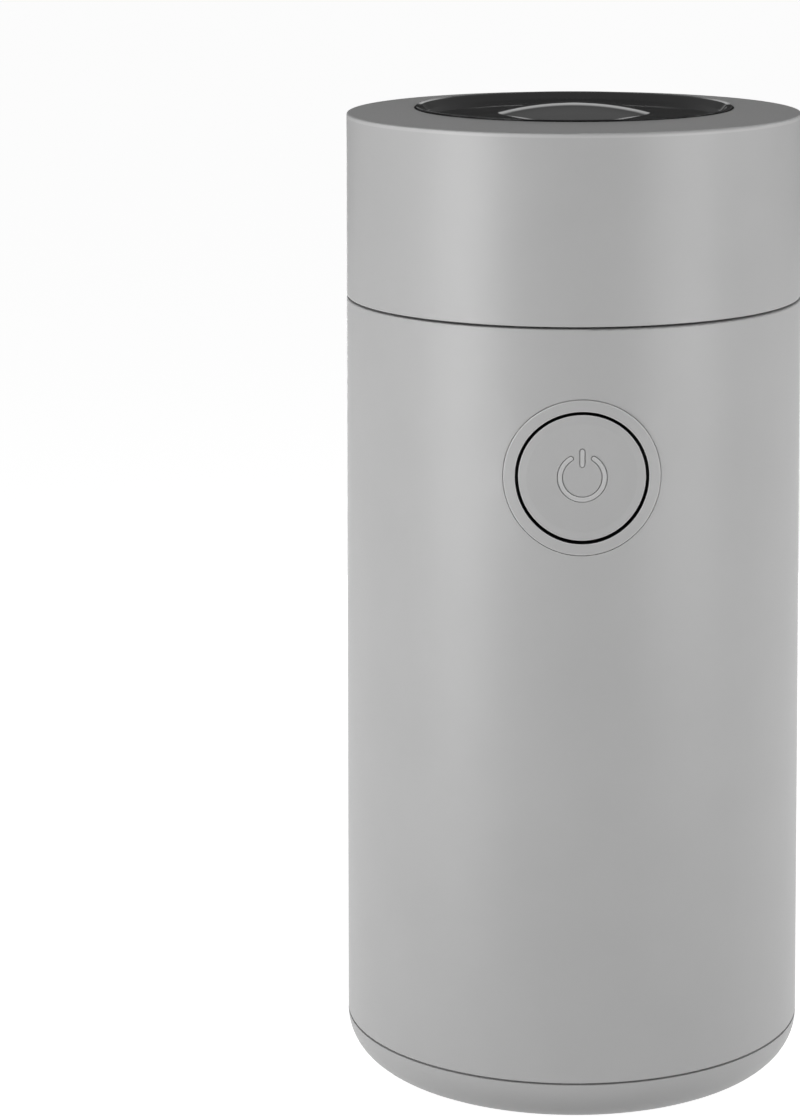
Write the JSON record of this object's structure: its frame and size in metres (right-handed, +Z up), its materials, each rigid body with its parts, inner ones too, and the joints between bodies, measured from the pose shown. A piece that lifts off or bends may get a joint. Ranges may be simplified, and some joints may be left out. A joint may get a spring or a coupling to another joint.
{
  "type": "electric spice grinder",
  "caption": "Cylindrical electric spice and coffee grinder with a lift-off lid, smoked domed window, steel bowl with a spinning blade and a round push button.",
  "frame": {"origin": "on the surface that the feet stand on, on the axis of the round housing", "axes": "+Z up along the motor axis, -Y towards the push button, +Y towards the cord inlet"},
  "size_m": [0.0894, 0.0894, 0.1901],
  "materials": {
    "body_grey": "satin grey moulding",
    "symbol_grey": "satin, slightly darker",
    "smoked_clear": "smoked clear plastic, gloss",
    "black_plastic": "matt",
    "white_plastic": "satin",
    "rubber": "matt",
    "seal_silicone": "translucent grey",
    "bowl_steel": "fine brushed",
    "bright_steel": "ground",
    "screw_steel": "zinc plated",
    "core_steel": "stacked laminations",
    "winding_copper": "enamelled copper wire",
    "commutator_copper": "turned copper",
    "bracket_metal": "die cast",
    "carbon": "graphite",
    "brass": "plain",
    "board_green": "solder resist",
    "capacitor_yellow": "moulded"
  },
  "bodies": {
    "housing": {"body_shell": "body_grey", "base_cover": "body_grey", "rubber_feet": "rubber", "base_screws": "screw_steel", "cord_gland": "rubber", "cord_clamp": "black_plastic", "cord_clamp_screws": "screw_steel", "bowl_carrier": "black_plastic", "carrier_screws": "screw_steel", "grinding_bowl": "bowl_steel", "bowl_gasket": "rubber", "shaft_seal": "rubber", "button_bezel": "body_grey", "power_switch": "black_plastic", "switch_retainers": "screw_steel", "interlock_switch": "black_plastic", "interlock_screws": "screw_steel", "stator_core": "core_steel", "field_coils": "winding_copper", "upper_bracket": "bracket_metal", "lower_bracket": "black_plastic", "top_bearing": "bright_steel", "bottom_bearing": "bright_steel", "motor_mounts": "rubber", "motor_screws": "screw_steel", "brush_holders": "black_plastic", "carbon_brushes": "carbon", "brush_springs": "bright_steel", "brush_caps": "brass", "terminal_board": "board_green", "suppressor_capacitor": "capacitor_yellow", "wire_terminal": "white_plastic", "thermal_fuse": "brass"},
    "power_button": {"button_cap": "body_grey", "power_symbol": "symbol_grey", "button_slider": "black_plastic", "button_spring": "bright_steel"},
    "power_plunger": {"power_switch_plunger": "white_plastic"},
    "rotor": {"motor_shaft": "bright_steel", "armature_core": "core_steel", "armature_windings": "winding_copper", "commutator": "commutator_copper", "cooling_fan": "black_plastic", "blade_collar": "bowl_steel", "grinding_blade": "bowl_steel", "blade_nut": "bowl_steel"},
    "lid": {"lid_shell": "body_grey", "lid_cup": "smoked_clear", "lid_inner_ring": "black_plastic", "lid_seal": "seal_silicone", "lid_screws": "screw_steel"},
    "interlock_rod": {"interlock_rod": "black_plastic", "interlock_spring": "bright_steel"},
    "interlock_plunger": {"interlock_plunger": "white_plastic"}
  },
  "joints": [
    {"name": "lid_lift", "type": "slide", "parent": "housing", "child": "lid", "axis": [0, 0, 1], "range_m": [0, 0.06]},
    {"name": "button_press", "type": "slide", "parent": "housing", "child": "power_button", "axis": [0, 1, 0], "range_m": [0, 0.002], "stiffness_N_per_m": 600, "springref_m": -0.002, "deforming": ["button_spring"]},
    {"name": "blade_spin", "type": "hinge", "parent": "housing", "child": "rotor", "pos_m": [0, 0, 0], "axis": [0, 0, 1], "continuous": true},
    {"name": "power_plunger_slide", "type": "slide", "parent": "housing", "child": "power_plunger", "axis": [0, 1, 0], "range_m": [0, 0.002]},
    {"name": "interlock_rod_slide", "type": "slide", "parent": "housing", "child": "interlock_rod", "axis": [0, 0, 1], "range_m": [0, 0.0015], "deforming": ["interlock_spring"]},
    {"name": "interlock_plunger_slide", "type": "slide", "parent": "housing", "child": "interlock_plunger", "axis": [0, 0, 1], "range_m": [0, 0.0015]}
  ],
  "couplings": [
    {"joint": "power_plunger_slide", "follows": "button_press", "ratio": 1},
    {"joint": "interlock_rod_slide", "follows": "lid_lift", "ratio": 0.025},
    {"joint": "interlock_plunger_slide", "follows": "lid_lift", "ratio": 0.025}
  ]
}
